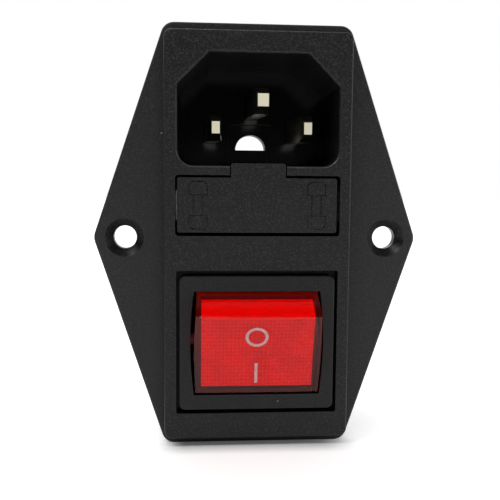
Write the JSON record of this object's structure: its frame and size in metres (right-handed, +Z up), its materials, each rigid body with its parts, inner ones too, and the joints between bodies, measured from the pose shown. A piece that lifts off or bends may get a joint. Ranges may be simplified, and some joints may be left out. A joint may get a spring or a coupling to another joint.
{
  "type": "power entry module",
  "caption": "Panel power entry module: three-pin appliance inlet, pull-out drawer for two fuses and a lit red rocker switch in one black flanged housing.",
  "frame": {"origin": "centre of the flange's rear face, on the line through the two screw holes", "axes": "+X to the right seen from the front, +Z up (inlet at the top), the front faces -Y"},
  "size_m": [0.049, 0.0366, 0.064],
  "materials": {
    "black_nylon": "moulded, very fine texture",
    "switch_nylon": "moulded, smooth matt",
    "clear_red_cap": "clear polycarbonate, polished",
    "red_diffuser": "tinted, finely gridded",
    "carrier_nylon": "moulded",
    "plated_pin": "nickel-plated brass",
    "plated_contact": "tin-plated spring brass",
    "terminal_brass": "bright brass",
    "lever_copper": "copper with silver contact",
    "fuse_glass": "clear tube",
    "fuse_cap": "nickel-plated",
    "fuse_wire": "tinned wire",
    "lamp_glass": "clear glass bulb",
    "resistor_enamel": "enamelled",
    "lead_wire": "tinned wire",
    "plunger_acetal": "white acetal",
    "spring_steel": "drawn wire"
  },
  "bodies": {
    "module": {"housing": "black_nylon", "switch_body": "switch_nylon", "line_pin": "plated_pin", "neutral_pin": "plated_pin", "earth_pin": "plated_pin", "line_fuse_clip": "plated_contact", "neutral_fuse_clip": "plated_contact", "line_centre_terminal": "terminal_brass", "neutral_centre_terminal": "terminal_brass", "line_end_terminal": "terminal_brass", "neutral_end_terminal": "terminal_brass"},
    "drawer": {"fuse_drawer": "black_nylon", "line_fuse_glass": "fuse_glass", "line_fuse_front_cap": "fuse_cap", "line_fuse_rear_cap": "fuse_cap", "line_fuse_wire": "fuse_wire", "neutral_fuse_glass": "fuse_glass", "neutral_fuse_front_cap": "fuse_cap", "neutral_fuse_rear_cap": "fuse_cap", "neutral_fuse_wire": "fuse_wire"},
    "rocker": {"rocker_cap": "clear_red_cap", "rocker_diffuser": "red_diffuser", "rocker_carrier": "carrier_nylon", "neon_lamp": "lamp_glass", "lamp_resistor": "resistor_enamel", "lamp_leads": "lead_wire", "line_plunger": "plunger_acetal", "neutral_plunger": "plunger_acetal", "line_plunger_spring": "spring_steel", "neutral_plunger_spring": "spring_steel"},
    "line_lever": {"line_contact_lever": "lever_copper"},
    "neutral_lever": {"neutral_contact_lever": "lever_copper"}
  },
  "joints": [
    {"name": "drawer_slide", "type": "slide", "parent": "module", "child": "drawer", "axis": [0, -1, 0], "range_m": [0, 0.02]},
    {"name": "rocker_hinge", "type": "hinge", "parent": "module", "child": "rocker", "pos_m": [0, -0.00158, -0.01585], "axis": [1, 0, 0], "range_deg": [-30.4, 0]},
    {"name": "line_lever_hinge", "type": "hinge", "parent": "module", "child": "line_lever", "pos_m": [0, 0.01207, -0.01585], "axis": [1, 0, 0], "range_deg": [0, 18.01]},
    {"name": "neutral_lever_hinge", "type": "hinge", "parent": "module", "child": "neutral_lever", "pos_m": [0, 0.01207, -0.01585], "axis": [1, 0, 0], "range_deg": [0, 18.01]}
  ],
  "couplings": [
    {"joint": "line_lever_hinge", "follows": "rocker_hinge", "ratio": -0.5921},
    {"joint": "neutral_lever_hinge", "follows": "rocker_hinge", "ratio": -0.5921}
  ]
}
